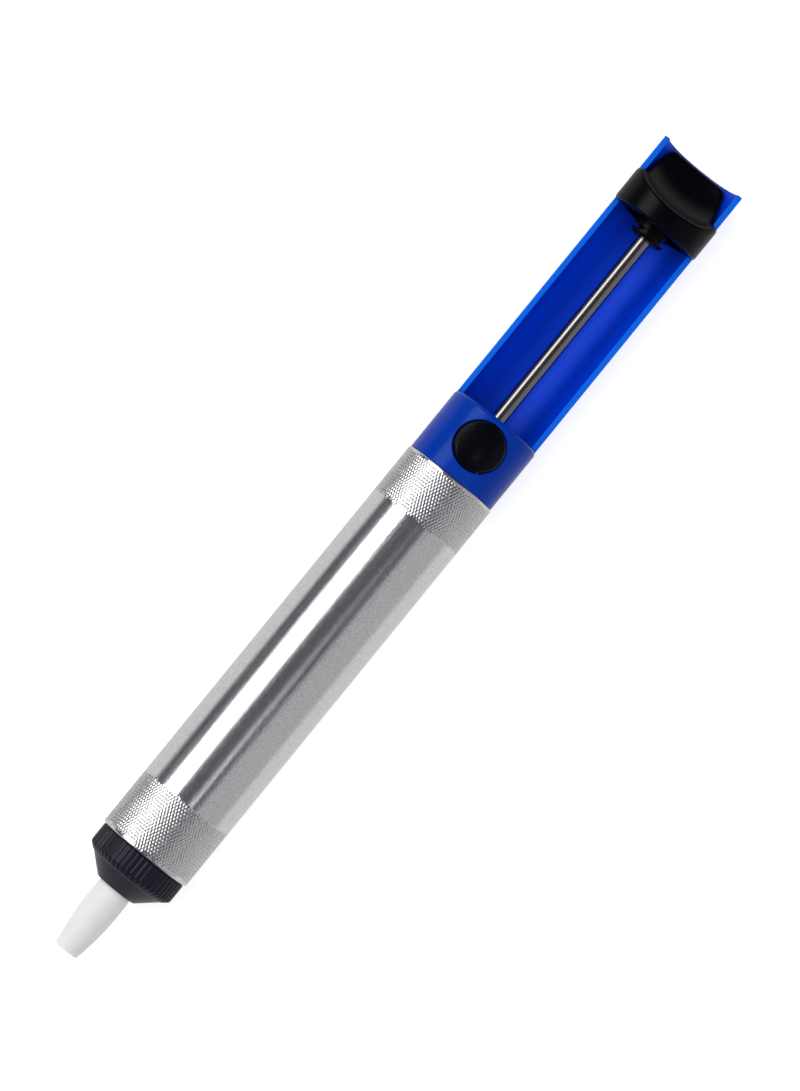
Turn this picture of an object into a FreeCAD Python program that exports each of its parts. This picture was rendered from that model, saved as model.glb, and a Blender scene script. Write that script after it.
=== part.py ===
"""Spring-loaded desoldering pump: a hand tool that sucks up molten solder.

The tool lies along X. The origin is the centre of the nozzle's mouth, +X runs back along the barrel to the
thumb knob, and +Z points to the side where the release button is. All sizes are in millimetres.

From the front: a PTFE nozzle held in a screwed cap, an aluminium barrel with a knurled band at each end, and a
plastic handle. The handle is one moulding: a threaded spigot inside the barrel, a collar that holds the
release button, and a half-round guard in which the thumb knob slides.

Pushing the knob drives the piston forward against the main spring, until the button's keyhole web rises into the
groove of the collar under the knob. Pressing the button frees the collar, and the spring throws the piston back.
"""
import FreeCAD, Part
import math
import os

from FreeCAD import Vector

os.makedirs("parts", exist_ok=True)

# ---------------------------------------------------------------- driving sizes
# Lengths along the tool, from the front.
nozzle_reach = 15.0  # nozzle that shows in front of the cap
cap_cone_length = 3.4
cap_shoulder_length = 1.2  # the ring where the ribs run out
cap_grip_length = 4.1  # the ribbed part
seam_gap = 0.1  # between the cap and the barrel's end face
barrel_length = 92.5
collar_length = 14.1
guard_length = 63.1

# Nozzle.
nozzle_bore_radius = 1.5
nozzle_tip_radius = 2.55
nozzle_body_radius = 3.5
nozzle_swell = 0.73  # radius gained over the first third of the curved taper
nozzle_edge = 0.35  # rounding of the tip
nozzle_flange_width = 1.5
nozzle_flange_length = 2.0

# Cap.
cap_lip = 0.8  # width of the flat face round the nozzle
cap_cone_radius = 8.15
cap_grip_radius = 9.4  # at the bottom of the ribs
cap_rib_height = 0.2
cap_rib_count = 52
cap_rib_share = 0.45  # of the distance from rib to rib
cap_rib_root = 0.4  # depth of a rib's root in the cap
cap_front_wall = 2.5  # plastic in front of the nozzle's flange
cap_spigot_wall = 1.85
cap_spigot_length = 7.0
cap_fit = 0.05  # round the nozzle and its flange
cap_ring_setback = 0.6  # from the barrel's end face to the groove of the cap's ring

# Barrel.
barrel_radius = 10.0
bore_radius = 8.5
thread_depth = 0.45
thread_clearance = 0.05
thread_end_room = 0.4  # spare length of each threaded seat in the barrel
barrel_edge = 0.3

# Handle.
collar_radius = 9.8
collar_edge = 1.0
guard_radius = 9.55
guard_wall = 1.15
guard_corner = 0.4
guard_edge = 0.2
pocket_edge = 0.25  # rounding of the button's hole in the collar
spigot_length = 12.0
spigot_thread_length = 7.6
spigot_wall = 1.55
spigot_hollow_length = 8.2

# Plunger.
rod_radius = 1.5
rod_running_gap = 0.06
knob_stop_gap = 0.2  # between knob and collar when the pump is loaded
piston_length = 9.0
piston_gap = 0.3
piston_boss_gap = 0.35  # between the boss and the main spring
piston_boss_length = 2.5
piston_edge = 0.5
piston_ring_room = 0.15  # at each side of the piston's ring
pin_radius = 0.9
pin_past_nozzle = 1.0  # how far the pushed-down pin stands out of the nozzle

nut_length = 2.4
nut_across_flats = 5.5
rod_past_nut = 1.0
pin_socket = 4.0
pin_point = 0.5
pin_fit = 0.01
pin_end_gap = 0.05
rod_edge = 0.3
rod_room = 0.25  # round the rod, in the button and the collar
clip_thickness = 0.6
clip_width = 1.0
clip_groove_depth = 0.35

# Rings, washers and guide.
o_ring_section = 1.0  # radius of the piston ring's groove
cap_ring_section = 0.6
ring_slack = 0.02  # a ring is this much thinner than its groove
ring_running_gap = 0.03
ring_side_gap = 0.05  # beside the cap's ring
washer_thickness = 0.5
washer_fit = 0.05
washer_past_nut = 0.85
seat_bore_room = 0.5  # between the nozzle's bore and the hole in the spring's seat
seat_inset = 0.05  # of the seat's edge from the outside of the main spring
bumper_thickness = 1.5
bumper_side_room = 2.5
bumper_clip_room = 0.3
guide_flange_length = 1.2
guide_length = 6.0
guide_fit = 0.03
guide_flange_step = 1.0
guide_vent_count = 4
guide_vent_radius = 0.8
stop_gap = 0.1  # between the piston and the bumper at rest

# Button and catch.
button_from_collar_end = 6.4  # button axis to the collar's rear face
button_radius = 4.9
button_gap = 0.2
button_travel = 1.6
button_stand_out = 1.4  # height of the dome above the collar
button_dome_height = 0.9
button_rim = 0.7  # rounding between the button's side and its dome
button_shoulder_z = 7.4  # top of the wider rear part, which stops the button under the collar's skin
button_stop_gap = 0.1
button_foot_z = -4.6
cover_top_z = -7.4
cover_fit = 0.03
web_thickness = 0.7  # the part of the button that drops into the catch groove
web_rear_gap = 0.1
web_hole_radius = 2.8
catch_groove_radius = 2.6
catch_radius = 3.7
catch_chamfer = 0.6
catch_play = 0.15
catch_room = 0.25  # round the catch collar, in the button and the housing

# Knob.
knob_skirt_length = 7.7
knob_from_guard_end = 15.6  # knob's front face to the guard's rear end
knob_gap = 0.25
knob_top_from_guard_end = 0.5
knob_pad_taper_start = 1.4  # behind the skirt
knob_pad_half_width = 6.6  # at the knob's rear end
knob_hollow_radius = 6.8
knob_hollow_depth = 3.0
catch_reach = 2.7  # catch collar that shows under the knob
catch_flange_length = 0.85
knob_rod_socket = 5.0  # depth of the rod's end behind the knob's front face
rod_fit = 0.02
rod_end_gap = 0.1
scoop_radius = 12.7  # thumb hollow, seen from the side
scoop_half_width = 15.1  # the same hollow's half axis across the tool
scoop_centre_z = 8.0
scoop_centre_back = 2.0  # behind the knob's rear end

# Springs.
main_wire_radius = 0.55
main_spring_gap = 0.45  # between the spring and the cap's hollow
main_fill = 0.66  # share of the loaded spring's room that the wire takes up
button_wire_radius = 0.3
button_coil_radius = 2.0
button_turns = 3
button_spring_recess = 0.9
button_spring_room = 0.3
spring_end_gap = 0.05

# ---------------------------------------------------------------- stations along X
cap_front_x = nozzle_reach
cone_end_x = cap_front_x + cap_cone_length
grip_front_x = cone_end_x + cap_shoulder_length
grip_rear_x = grip_front_x + cap_grip_length
barrel_front_x = grip_rear_x + seam_gap
barrel_rear_x = barrel_front_x + barrel_length
collar_rear_x = barrel_rear_x + collar_length
guard_rear_x = collar_rear_x + guard_length

thread_crest_radius = bore_radius + thread_depth
thread_seat_radius = thread_crest_radius + thread_clearance
cap_hollow_radius = thread_crest_radius - cap_spigot_wall
spigot_core_radius = bore_radius - thread_clearance
spigot_hollow_radius = spigot_core_radius - spigot_wall
main_coil_radius = cap_hollow_radius - main_spring_gap - main_wire_radius
seat_radius = main_coil_radius + main_wire_radius - seat_inset
nozzle_flange_radius = nozzle_body_radius + nozzle_flange_width

flange_front_x = cap_front_x + cap_front_wall
flange_rear_x = flange_front_x + nozzle_flange_length
seat_rear_x = flange_rear_x + washer_thickness
cap_rear_x = barrel_front_x + cap_spigot_length
ring_groove_x = barrel_front_x + cap_ring_setback

spigot_front_x = barrel_rear_x - spigot_length
guide_front_x = spigot_front_x - guide_flange_length
bumper_front_x = guide_front_x - bumper_thickness
piston_rear_x = bumper_front_x - stop_gap
piston_front_x = piston_rear_x - piston_length
boss_front_x = piston_front_x - piston_boss_length
nut_rear_x = boss_front_x - washer_thickness
nut_front_x = nut_rear_x - nut_length
rod_front_x = nut_front_x - rod_past_nut

knob_front_x = guard_rear_x - knob_from_guard_end
skirt_rear_x = knob_front_x + knob_skirt_length
knob_rear_x = guard_rear_x - knob_top_from_guard_end
knob_web_x = knob_front_x + knob_hollow_depth
catch_front_x = knob_front_x - catch_reach
groove_front_x = catch_front_x + catch_flange_length
rod_rear_x = knob_front_x + knob_rod_socket
pin_rear_x = rod_front_x + pin_socket - pin_end_gap
stroke = knob_front_x - collar_rear_x - knob_stop_gap
pin_front_x = stroke - pin_past_nozzle
main_turns = int(main_fill * (piston_front_x - seat_rear_x - stroke) / (2 * main_wire_radius))

button_x = collar_rear_x - button_from_collar_end
web_front_x = groove_front_x - stroke + catch_play / 2
web_rear_x = web_front_x + web_thickness
groove_rear_x = web_rear_x + stroke + catch_play / 2
guard_inner_radius = guard_radius - guard_wall
button_top_z = collar_radius + button_stand_out
room_radius = catch_radius + catch_room

X_AXIS = Vector(1, 0, 0)
Y_AXIS = Vector(0, 1, 0)
Z_AXIS = Vector(0, 0, 1)


# ---------------------------------------------------------------- small helpers
def turned(outline):
    """A solid of revolution about X from a closed outline of (x, radius) points."""
    points = [Vector(x, 0, r) for x, r in outline]
    wire = Part.makePolygon(points + [points[0]])
    return Part.Face(wire).revolve(Vector(0, 0, 0), X_AXIS, 360)


def rod_along_x(radius, x_from, x_to):
    return Part.makeCylinder(radius, x_to - x_from, Vector(x_from, 0, 0), X_AXIS)


def ring_along_x(outer, inner, x_from, x_to):
    return rod_along_x(outer, x_from, x_to).cut(rod_along_x(inner, x_from, x_to))


def block(x_from, x_to, y_half, z_from, z_to):
    return Part.makeBox(x_to - x_from, 2 * y_half, z_to - z_from, Vector(x_from, -y_half, z_from))


def o_ring(x, middle_radius, section):
    return Part.makeTorus(middle_radius, section, Vector(x, 0, 0), X_AXIS)


def coil(start, direction, length, middle_radius, wire_radius, turns):
    """A closed-section helical spring that fills the given length, wire included."""
    rise = length - 2 * wire_radius
    helix = Part.makeHelix(rise / turns, rise, middle_radius)
    circle = Part.Wire(Part.makeCircle(wire_radius, Vector(middle_radius, 0, 0), Y_AXIS))
    spring = Part.Wire(helix.Edges).makePipeShell([circle], True, True)
    spring.translate(Vector(0, 0, wire_radius))
    turn = FreeCAD.Rotation(Z_AXIS, direction)
    spring.Placement = FreeCAD.Placement(start, turn).multiply(spring.Placement)
    return spring


def save(name, shape):
    """Checks that a piece is closed and writes it to its own file."""
    if not shape.isValid() or shape.Volume <= 0:
        raise ValueError(f"{name} isn't a valid solid")
    solids = shape.Solids
    piece = solids[0] if len(solids) == 1 else Part.makeCompound(solids)
    piece.exportStep(f"parts/{name}.step")
    print(f"{name:22s} {len(solids)} solid  {shape.Volume:9.2f} mm3")


# ---------------------------------------------------------------- nozzle and cap
def nozzle():
    """White PTFE tube with a curved taper and a flange that the cap holds."""
    face = Vector(0, 0, nozzle_tip_radius - nozzle_edge)
    tip = Vector(nozzle_edge, 0, nozzle_tip_radius)
    bulge = nozzle_edge * (1 - math.sqrt(0.5))
    rounding = Part.Arc(face, Vector(bulge, 0, nozzle_tip_radius - bulge), tip).toShape()
    middle = Vector(nozzle_reach / 3, 0, nozzle_tip_radius + nozzle_swell)
    shoulder = Vector(nozzle_reach, 0, nozzle_body_radius)
    taper = Part.Arc(tip, middle, shoulder).toShape()
    path = [
        shoulder,
        Vector(flange_front_x, 0, nozzle_body_radius),
        Vector(flange_front_x, 0, nozzle_flange_radius),
        Vector(flange_rear_x, 0, nozzle_flange_radius),
        Vector(flange_rear_x, 0, nozzle_bore_radius),
        Vector(0, 0, nozzle_bore_radius),
        face,
    ]
    edges = [taper] + Part.makePolygon(path).Edges + [rounding]
    return Part.Face(Part.Wire(edges)).revolve(Vector(0, 0, 0), X_AXIS, 360)


def cap_ribs():
    """Fine ribs around the cap's grip, one solid each before they join the cap."""
    rib_width = cap_rib_share * 2 * math.pi * cap_grip_radius / cap_rib_count
    root = Vector(grip_front_x, -rib_width / 2, cap_grip_radius - cap_rib_root)
    rib = Part.makeBox(cap_grip_length, rib_width, cap_rib_height + cap_rib_root, root)
    ribs = []
    for n in range(cap_rib_count):
        turned_rib = rib.copy()
        turned_rib.rotate(Vector(0, 0, 0), X_AXIS, n * 360 / cap_rib_count)
        ribs.append(turned_rib)
    return ribs


def cap():
    """Black screwed cap: cone, ribbed grip, and a spigot that screws into the barrel."""
    groove_rear = ring_groove_x + 2 * cap_ring_section + 2 * ring_side_gap
    groove_radius = thread_crest_radius - 2 * cap_ring_section
    nozzle_hole = nozzle_body_radius + cap_fit
    flange_hole = nozzle_flange_radius + cap_fit
    seat_hole = seat_radius + 2 * cap_fit
    body = turned(
        [
            (cap_front_x, nozzle_hole),
            (cap_front_x, nozzle_hole + cap_lip),
            (cone_end_x, cap_cone_radius),
            (grip_front_x, cap_grip_radius),
            (grip_rear_x, cap_grip_radius),
            (grip_rear_x, thread_crest_radius),
            (ring_groove_x, thread_crest_radius),
            (ring_groove_x, groove_radius),
            (groove_rear, groove_radius),
            (groove_rear, thread_crest_radius),
            (cap_rear_x - barrel_edge, thread_crest_radius),
            (cap_rear_x, thread_crest_radius - barrel_edge),
            (cap_rear_x, cap_hollow_radius),
            (seat_rear_x + cap_fit, cap_hollow_radius),
            (seat_rear_x + cap_fit, seat_hole),
            (flange_rear_x, seat_hole),
            (flange_rear_x, flange_hole),
            (flange_front_x, flange_hole),
            (flange_front_x, nozzle_hole),
        ]
    )
    return body.fuse(cap_ribs()).removeSplitter()


def cap_ring():
    """Rubber ring in the groove of the cap's spigot."""
    section = cap_ring_section - ring_slack
    x = ring_groove_x + ring_side_gap + cap_ring_section
    return o_ring(x, thread_crest_radius - section, section)


def spring_seat():
    """Steel washer between the nozzle's flange and the main spring."""
    return ring_along_x(seat_radius, nozzle_bore_radius + seat_bore_room, flange_rear_x, seat_rear_x)


# ---------------------------------------------------------------- barrel
def barrel():
    """Aluminium tube with a threaded seat at each end."""
    front_seat = barrel_front_x + cap_spigot_length + thread_end_room
    rear_seat = barrel_rear_x - spigot_thread_length - thread_end_room
    return turned(
        [
            (barrel_front_x, thread_seat_radius),
            (barrel_front_x, barrel_radius - barrel_edge),
            (barrel_front_x + barrel_edge, barrel_radius),
            (barrel_rear_x - barrel_edge, barrel_radius),
            (barrel_rear_x, barrel_radius - barrel_edge),
            (barrel_rear_x, thread_seat_radius),
            (rear_seat, thread_seat_radius),
            (rear_seat, bore_radius),
            (front_seat, bore_radius),
            (front_seat, thread_seat_radius),
        ]
    )


# ---------------------------------------------------------------- plunger
def main_spring():
    start = Vector(seat_rear_x + spring_end_gap, 0, 0)
    length = piston_front_x - seat_rear_x - 2 * spring_end_gap
    return coil(start, X_AXIS, length, main_coil_radius, main_wire_radius, main_turns)


def piston():
    """Nylon piston with a groove for its ring and a boss that centres the spring."""
    groove_half = o_ring_section + piston_ring_room
    groove_middle = piston_rear_x - piston_length / 2
    groove_radius = bore_radius - 2 * o_ring_section
    bore = rod_radius + rod_fit
    radius = bore_radius - piston_gap
    boss = main_coil_radius - main_wire_radius - piston_boss_gap
    return turned(
        [
            (boss_front_x, bore),
            (boss_front_x, boss - piston_edge),
            (boss_front_x + piston_edge, boss),
            (piston_front_x, boss),
            (piston_front_x, radius - piston_edge),
            (piston_front_x + piston_edge, radius),
            (groove_middle - groove_half, radius),
            (groove_middle - groove_half, groove_radius),
            (groove_middle + groove_half, groove_radius),
            (groove_middle + groove_half, radius),
            (piston_rear_x - piston_edge, radius),
            (piston_rear_x, radius - piston_edge),
            (piston_rear_x, bore),
        ]
    )


def piston_ring():
    """Rubber ring that seals the piston in the barrel's bore."""
    section = o_ring_section - ring_slack
    return o_ring(piston_rear_x - piston_length / 2, bore_radius - ring_running_gap - section, section)


def piston_washer():
    """Steel washer between the nut and the piston."""
    outer = nut_across_flats / 2 + washer_past_nut
    return ring_along_x(outer, rod_radius + washer_fit, nut_rear_x, boss_front_x)


def piston_nut():
    """Hexagon nut on the threaded front end of the rod."""
    corner_radius = nut_across_flats / math.sqrt(3)
    corners = []
    for n in range(7):
        angle = math.radians(60 * n)
        corners.append(Vector(nut_front_x, corner_radius * math.cos(angle), corner_radius * math.sin(angle)))
    hexagon = Part.Face(Part.makePolygon(corners)).extrude(X_AXIS * nut_length)
    return hexagon.cut(rod_along_x(rod_radius + rod_fit, nut_front_x - 1, nut_rear_x + 1))


def backing_clip():
    """Open spring clip in the rod's groove, behind the piston."""
    inner = rod_radius - clip_groove_depth + rod_fit
    outer = rod_radius + clip_width
    ring = ring_along_x(outer, inner, piston_rear_x, piston_rear_x + clip_thickness)
    mouth = block(piston_rear_x - 1, piston_rear_x + 1 + clip_thickness, rod_radius / 2, 0, 2 * outer)
    return ring.cut(mouth)


def plunger_rod():
    """Polished steel rod from the piston to the knob."""
    body = turned(
        [
            (rod_front_x, 0),
            (rod_front_x, rod_radius - rod_edge),
            (rod_front_x + rod_edge, rod_radius),
            (rod_rear_x - rod_edge, rod_radius),
            (rod_rear_x, rod_radius - rod_edge),
            (rod_rear_x, 0),
        ]
    )
    socket = rod_along_x(pin_radius + pin_fit, rod_front_x - 1, rod_front_x + pin_socket)
    groove = ring_along_x(
        rod_radius + 1,
        rod_radius - clip_groove_depth,
        piston_rear_x - rod_fit,
        piston_rear_x + clip_thickness + rod_fit,
    )
    return body.cut(socket).cut(groove)


def cleaning_pin():
    """Thin steel pin that pushes solder out of the nozzle when the plunger is loaded."""
    return turned(
        [
            (pin_front_x, 0),
            (pin_front_x, pin_radius - pin_point),
            (pin_front_x + pin_point, pin_radius),
            (pin_rear_x, pin_radius),
            (pin_rear_x, 0),
        ]
    )


# ---------------------------------------------------------------- guide and bumper
def rod_guide():
    """Flanged plug in the spigot that guides the rod, with four vent holes."""
    bore = rod_radius + rod_running_gap
    radius = spigot_hollow_radius - guide_fit
    flange = spigot_hollow_radius + guide_flange_step
    plug = turned(
        [
            (guide_front_x, bore),
            (guide_front_x, flange),
            (spigot_front_x, flange),
            (spigot_front_x, radius),
            (spigot_front_x + guide_length, radius),
            (spigot_front_x + guide_length, bore),
        ]
    )
    vent_circle = (bore + radius) / 2
    vent_length = guide_flange_length + guide_length + 2
    for n in range(guide_vent_count):
        angle = 2 * math.pi * (n + 0.5) / guide_vent_count
        start = Vector(guide_front_x - 1, vent_circle * math.cos(angle), vent_circle * math.sin(angle))
        plug = plug.cut(Part.makeCylinder(guide_vent_radius, vent_length, start, X_AXIS))
    return plug


def stop_bumper():
    """Rubber washer that takes the piston's blow at the end of the return stroke."""
    inner = rod_radius + clip_width + bumper_clip_room
    return ring_along_x(bore_radius - bumper_side_room, inner, bumper_front_x, guide_front_x)


# ---------------------------------------------------------------- handle
def upright_peg(radius, z_from, z_to):
    """A cylinder on the button's axis."""
    return Part.makeCylinder(radius, z_to - z_from, Vector(button_x, 0, z_from), Z_AXIS)


def keyed_block(radius, x_rear, z_from, z_to):
    """The button's lower shape: round in front and square behind."""
    square = block(button_x, x_rear, radius, z_from, z_to)
    return upright_peg(radius, z_from, z_to).fuse(square)


def end_circles(shape, x):
    """The edges of a shape that lie in the plane at x."""
    return [e for e in shape.Edges if e.BoundBox.XLength < 1e-6 and abs(e.BoundBox.XMin - x) < 1e-6]


def pocket_rim(shape, radius):
    """The edges where the button's hole meets the outside of the collar."""
    rim = []
    for edge in shape.Edges:
        box = edge.BoundBox
        at_skin = box.ZMax > collar_radius - 0.01 and box.ZLength > 0.1
        round_hole = box.YLength > radius and box.XLength < 2 * radius + 0.1
        if at_skin and round_hole:
            rim.append(edge)
    return rim


def handle():
    """Blue moulding: threaded spigot, collar with the button's pocket, and half-round guard."""
    collar = rod_along_x(collar_radius, barrel_rear_x, collar_rear_x)
    collar = collar.makeFillet(collar_edge, end_circles(collar, collar_rear_x))
    thread_front = barrel_rear_x - spigot_thread_length
    lead_in = thread_crest_radius - spigot_core_radius
    spigot = turned(
        [
            (spigot_front_x, 0),
            (spigot_front_x, spigot_core_radius - barrel_edge),
            (spigot_front_x + barrel_edge, spigot_core_radius),
            (thread_front, spigot_core_radius),
            (thread_front + lead_in, thread_crest_radius),
            (barrel_rear_x, thread_crest_radius),
            (barrel_rear_x, 0),
        ]
    )
    start = collar_rear_x - 2 * collar_edge
    guard = ring_along_x(guard_radius, guard_inner_radius, start, guard_rear_x)
    guard = guard.cut(block(start - 1, guard_rear_x + 1, 2 * guard_radius, 0, 2 * guard_radius))
    corners = [e for e in end_circles(guard, guard_rear_x) if e.BoundBox.ZLength < 1e-6]
    guard = guard.makeFillet(guard_corner, corners)
    lengthwise = [e for e in guard.Edges if e.BoundBox.XLength > guard_length / 2]
    top_edges = [e for e in lengthwise if abs(e.BoundBox.ZMax) < 1e-6]
    guard = guard.makeFillet(guard_edge, top_edges)
    solid = collar.fuse([spigot, guard])

    hollow_rear_x = spigot_front_x + spigot_hollow_length
    solid = solid.cut(rod_along_x(spigot_hollow_radius, spigot_front_x - 1, hollow_rear_x))
    solid = solid.cut(rod_along_x(rod_radius + rod_room, spigot_front_x - 1, button_x))
    nose_x = catch_front_x - stroke - catch_room
    solid = solid.cut(rod_along_x(room_radius, nose_x, collar_rear_x + 1))
    pocket_radius = button_radius + button_gap
    solid = solid.cut(upright_peg(pocket_radius, 0, button_top_z))
    solid = solid.makeFillet(pocket_edge, pocket_rim(solid, pocket_radius))
    pocket_rear_x = web_rear_x + web_rear_gap
    pocket_top_z = button_shoulder_z + button_stop_gap
    return solid.cut(keyed_block(pocket_radius, pocket_rear_x, -2 * collar_radius, pocket_top_z))


def button_cover():
    """Blue plug that closes the button's pocket from below and carries the button's spring."""
    radius = button_radius + button_gap - cover_fit
    plug = keyed_block(radius, web_rear_x + web_rear_gap - cover_fit, -2 * collar_radius, cover_top_z)
    return plug.common(rod_along_x(collar_radius, barrel_rear_x, collar_rear_x))


# ---------------------------------------------------------------- button
def stretched_hole(radius, x_from, x_to):
    """A round hole along X, drawn out upwards so that it clears its shaft over the button's travel."""
    low = rod_along_x(radius, x_from, x_to)
    high = low.copy()
    high.translate(Z_AXIS * button_travel)
    return low.fuse([high, block(x_from, x_to, radius, 0, button_travel)])


def release_button():
    """Black domed push button. Its lower part is a block with the rod's slot and the keyhole web."""
    rim_z = button_top_z - button_dome_height
    sphere_radius = (button_radius**2 + button_dome_height**2) / (2 * button_dome_height)
    dome = Part.makeSphere(sphere_radius, Vector(button_x, 0, button_top_z - sphere_radius))
    dome = dome.common(upright_peg(button_radius, rim_z, button_top_z))
    body = upright_peg(button_radius, button_foot_z, rim_z)
    lower = keyed_block(button_radius, web_rear_x, button_foot_z, button_shoulder_z)
    solid = body.fuse([dome, lower]).removeSplitter()
    rim = [e for e in solid.Edges if e.BoundBox.ZLength < 1e-6 and abs(e.BoundBox.ZMin - rim_z) < 1e-6]
    solid = solid.makeFillet(button_rim, rim)

    front = button_x - button_radius - 1
    solid = solid.cut(stretched_hole(rod_radius + rod_room, front, web_rear_x))
    solid = solid.cut(stretched_hole(room_radius, catch_front_x - stroke - catch_room, web_front_x))
    solid = solid.cut(stretched_hole(web_hole_radius, web_front_x - 1, web_rear_x + 1))
    wide = rod_along_x(room_radius, web_front_x - 1, web_rear_x + 1)
    wide.translate(Z_AXIS * button_travel)
    solid = solid.cut(wide)
    recess_radius = button_coil_radius + button_wire_radius + button_spring_room
    return solid.cut(upright_peg(recess_radius, button_foot_z - 1, button_foot_z + button_spring_recess))


def button_spring():
    """Small coil spring between the cover and the button."""
    start = Vector(button_x, 0, cover_top_z + spring_end_gap)
    length = button_foot_z + button_spring_recess - cover_top_z - 2 * spring_end_gap
    return coil(start, Z_AXIS, length, button_coil_radius, button_wire_radius, button_turns)


# ---------------------------------------------------------------- knob
def catch_collar():
    """Black collar pressed on the rod under the knob, with the groove that the button's web holds."""
    bore = rod_radius + rod_fit
    return turned(
        [
            (catch_front_x, bore),
            (catch_front_x, catch_radius - catch_chamfer),
            (catch_front_x + catch_chamfer, catch_radius),
            (groove_front_x, catch_radius),
            (groove_front_x, catch_groove_radius),
            (groove_rear_x, catch_groove_radius),
            (groove_rear_x, catch_radius),
            (knob_web_x, catch_radius),
            (knob_web_x, bore),
        ]
    )


def thumb_knob():
    """Black plunger knob: a skirt over the guard's edges, and a hollowed thumb rest inside the guard."""
    inside = rod_along_x(guard_inner_radius - knob_gap, knob_front_x, knob_rear_x)
    skirt = rod_along_x(collar_radius, knob_front_x, skirt_rear_x)
    below = block(knob_front_x - 1, skirt_rear_x + 1, 2 * collar_radius, -2 * collar_radius, knob_gap)
    full = guard_inner_radius - knob_gap
    taper_x = skirt_rear_x + knob_pad_taper_start
    corners = [(knob_front_x, full), (taper_x, full), (knob_rear_x, knob_pad_half_width)]
    corners += [(x, -y) for x, y in reversed(corners)]
    plan = Part.makePolygon([Vector(x, y, -full) for x, y in corners + corners[:1]])
    inside = inside.common(Part.Face(plan).extrude(Z_AXIS * 2 * full))
    solid = inside.fuse(skirt.cut(below))

    scoop = Part.makeSphere(scoop_radius)
    stretch = FreeCAD.Matrix()
    stretch.scale(Vector(1, scoop_half_width / scoop_radius, 1))
    scoop = scoop.transformGeometry(stretch)
    scoop.translate(Vector(knob_rear_x + scoop_centre_back, 0, scoop_centre_z))
    solid = solid.cut(scoop)
    solid = solid.cut(rod_along_x(knob_hollow_radius, knob_front_x - 1, knob_web_x))
    solid = solid.cut(rod_along_x(rod_radius + rod_fit, knob_web_x - 1, rod_rear_x + rod_end_gap))
    return solid


PIECES = {
    "nozzle": nozzle,
    "nozzle_cap": cap,
    "cap_o_ring": cap_ring,
    "spring_seat_washer": spring_seat,
    "barrel": barrel,
    "main_spring": main_spring,
    "piston": piston,
    "piston_o_ring": piston_ring,
    "piston_washer": piston_washer,
    "piston_nut": piston_nut,
    "piston_clip": backing_clip,
    "plunger_rod": plunger_rod,
    "cleaning_pin": cleaning_pin,
    "rod_guide": rod_guide,
    "stop_bumper": stop_bumper,
    "handle_housing": handle,
    "release_button": release_button,
    "button_spring": button_spring,
    "button_cover": button_cover,
    "catch_collar": catch_collar,
    "thumb_knob": thumb_knob,
}

for piece_name, make in PIECES.items():
    save(piece_name, make())
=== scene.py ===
# %% [markdown]
# # A desoldering pump, dressed in Blender
#
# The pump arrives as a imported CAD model: 21 solids that already have their real sizes and places. This
# script keeps the solids whose shape is right, and gives them finishes. Where the real tool has detail that
# the solids leave out, such as the knurled bands, the ribs on the cap, the threads and the hollowed thumb
# knob, it builds a surface that stands in for the solid.
#
# The tool lies along X with the nozzle's mouth at the origin, and the release button points up along Z.

import math

import bmesh
import bpy
import numpy as np
from mathutils import Matrix, Vector


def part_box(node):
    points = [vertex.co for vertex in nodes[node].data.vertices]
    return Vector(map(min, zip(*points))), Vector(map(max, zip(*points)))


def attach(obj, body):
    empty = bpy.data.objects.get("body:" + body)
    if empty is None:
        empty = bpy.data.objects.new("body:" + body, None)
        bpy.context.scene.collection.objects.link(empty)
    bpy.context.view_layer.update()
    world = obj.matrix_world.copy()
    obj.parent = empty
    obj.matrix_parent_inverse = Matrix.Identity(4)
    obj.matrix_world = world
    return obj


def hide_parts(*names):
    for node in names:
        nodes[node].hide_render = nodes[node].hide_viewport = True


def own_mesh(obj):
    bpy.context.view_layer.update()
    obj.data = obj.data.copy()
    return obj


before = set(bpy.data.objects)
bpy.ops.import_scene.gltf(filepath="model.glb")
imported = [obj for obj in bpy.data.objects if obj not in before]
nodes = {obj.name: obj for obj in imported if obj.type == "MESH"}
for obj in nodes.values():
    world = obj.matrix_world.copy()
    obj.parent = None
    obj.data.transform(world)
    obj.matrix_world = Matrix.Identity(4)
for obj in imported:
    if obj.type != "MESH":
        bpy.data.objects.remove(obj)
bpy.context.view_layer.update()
MM = 0.001
TAU = 2 * math.pi


def span_x(node):
    """Front and rear of a node along the tool, in millimetres."""
    low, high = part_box(node)
    return low.x / MM, high.x / MM


# %% [markdown]
# ## Surfaces from arrays
#
# Nearly every piece of a turned tool is a profile carried round the axis. So the first helper turns a grid
# of points into a mesh, the second rounds the corners of an outline, and the third spins it. Each works on
# whole arrays, because a loop over the 77,000 points of the knurled tube would be slow, and a stack of
# modifiers couldn't follow the formula of a groove or a thread.


# %% Grid to mesh
def sheet_mesh(name, points, close_u=True, close_v=True):
    """A mesh from a grid of points, one quad per grid cell. A closed direction joins its last row to its
    first."""
    nu, nv = points.shape[:2]
    index = np.arange(nu * nv, dtype=np.int32).reshape(nu, nv)
    u0 = np.arange(nu if close_u else nu - 1)
    v0 = np.arange(nv if close_v else nv - 1)
    a = index[np.ix_(u0, v0)]
    b = index[np.ix_((u0 + 1) % nu, v0)]
    c = index[np.ix_((u0 + 1) % nu, (v0 + 1) % nv)]
    d = index[np.ix_(u0, (v0 + 1) % nv)]
    quads = np.stack([a, b, c, d], axis=-1).reshape(-1, 4)
    return mesh_from(name, points.reshape(-1, 3), quads)


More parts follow.
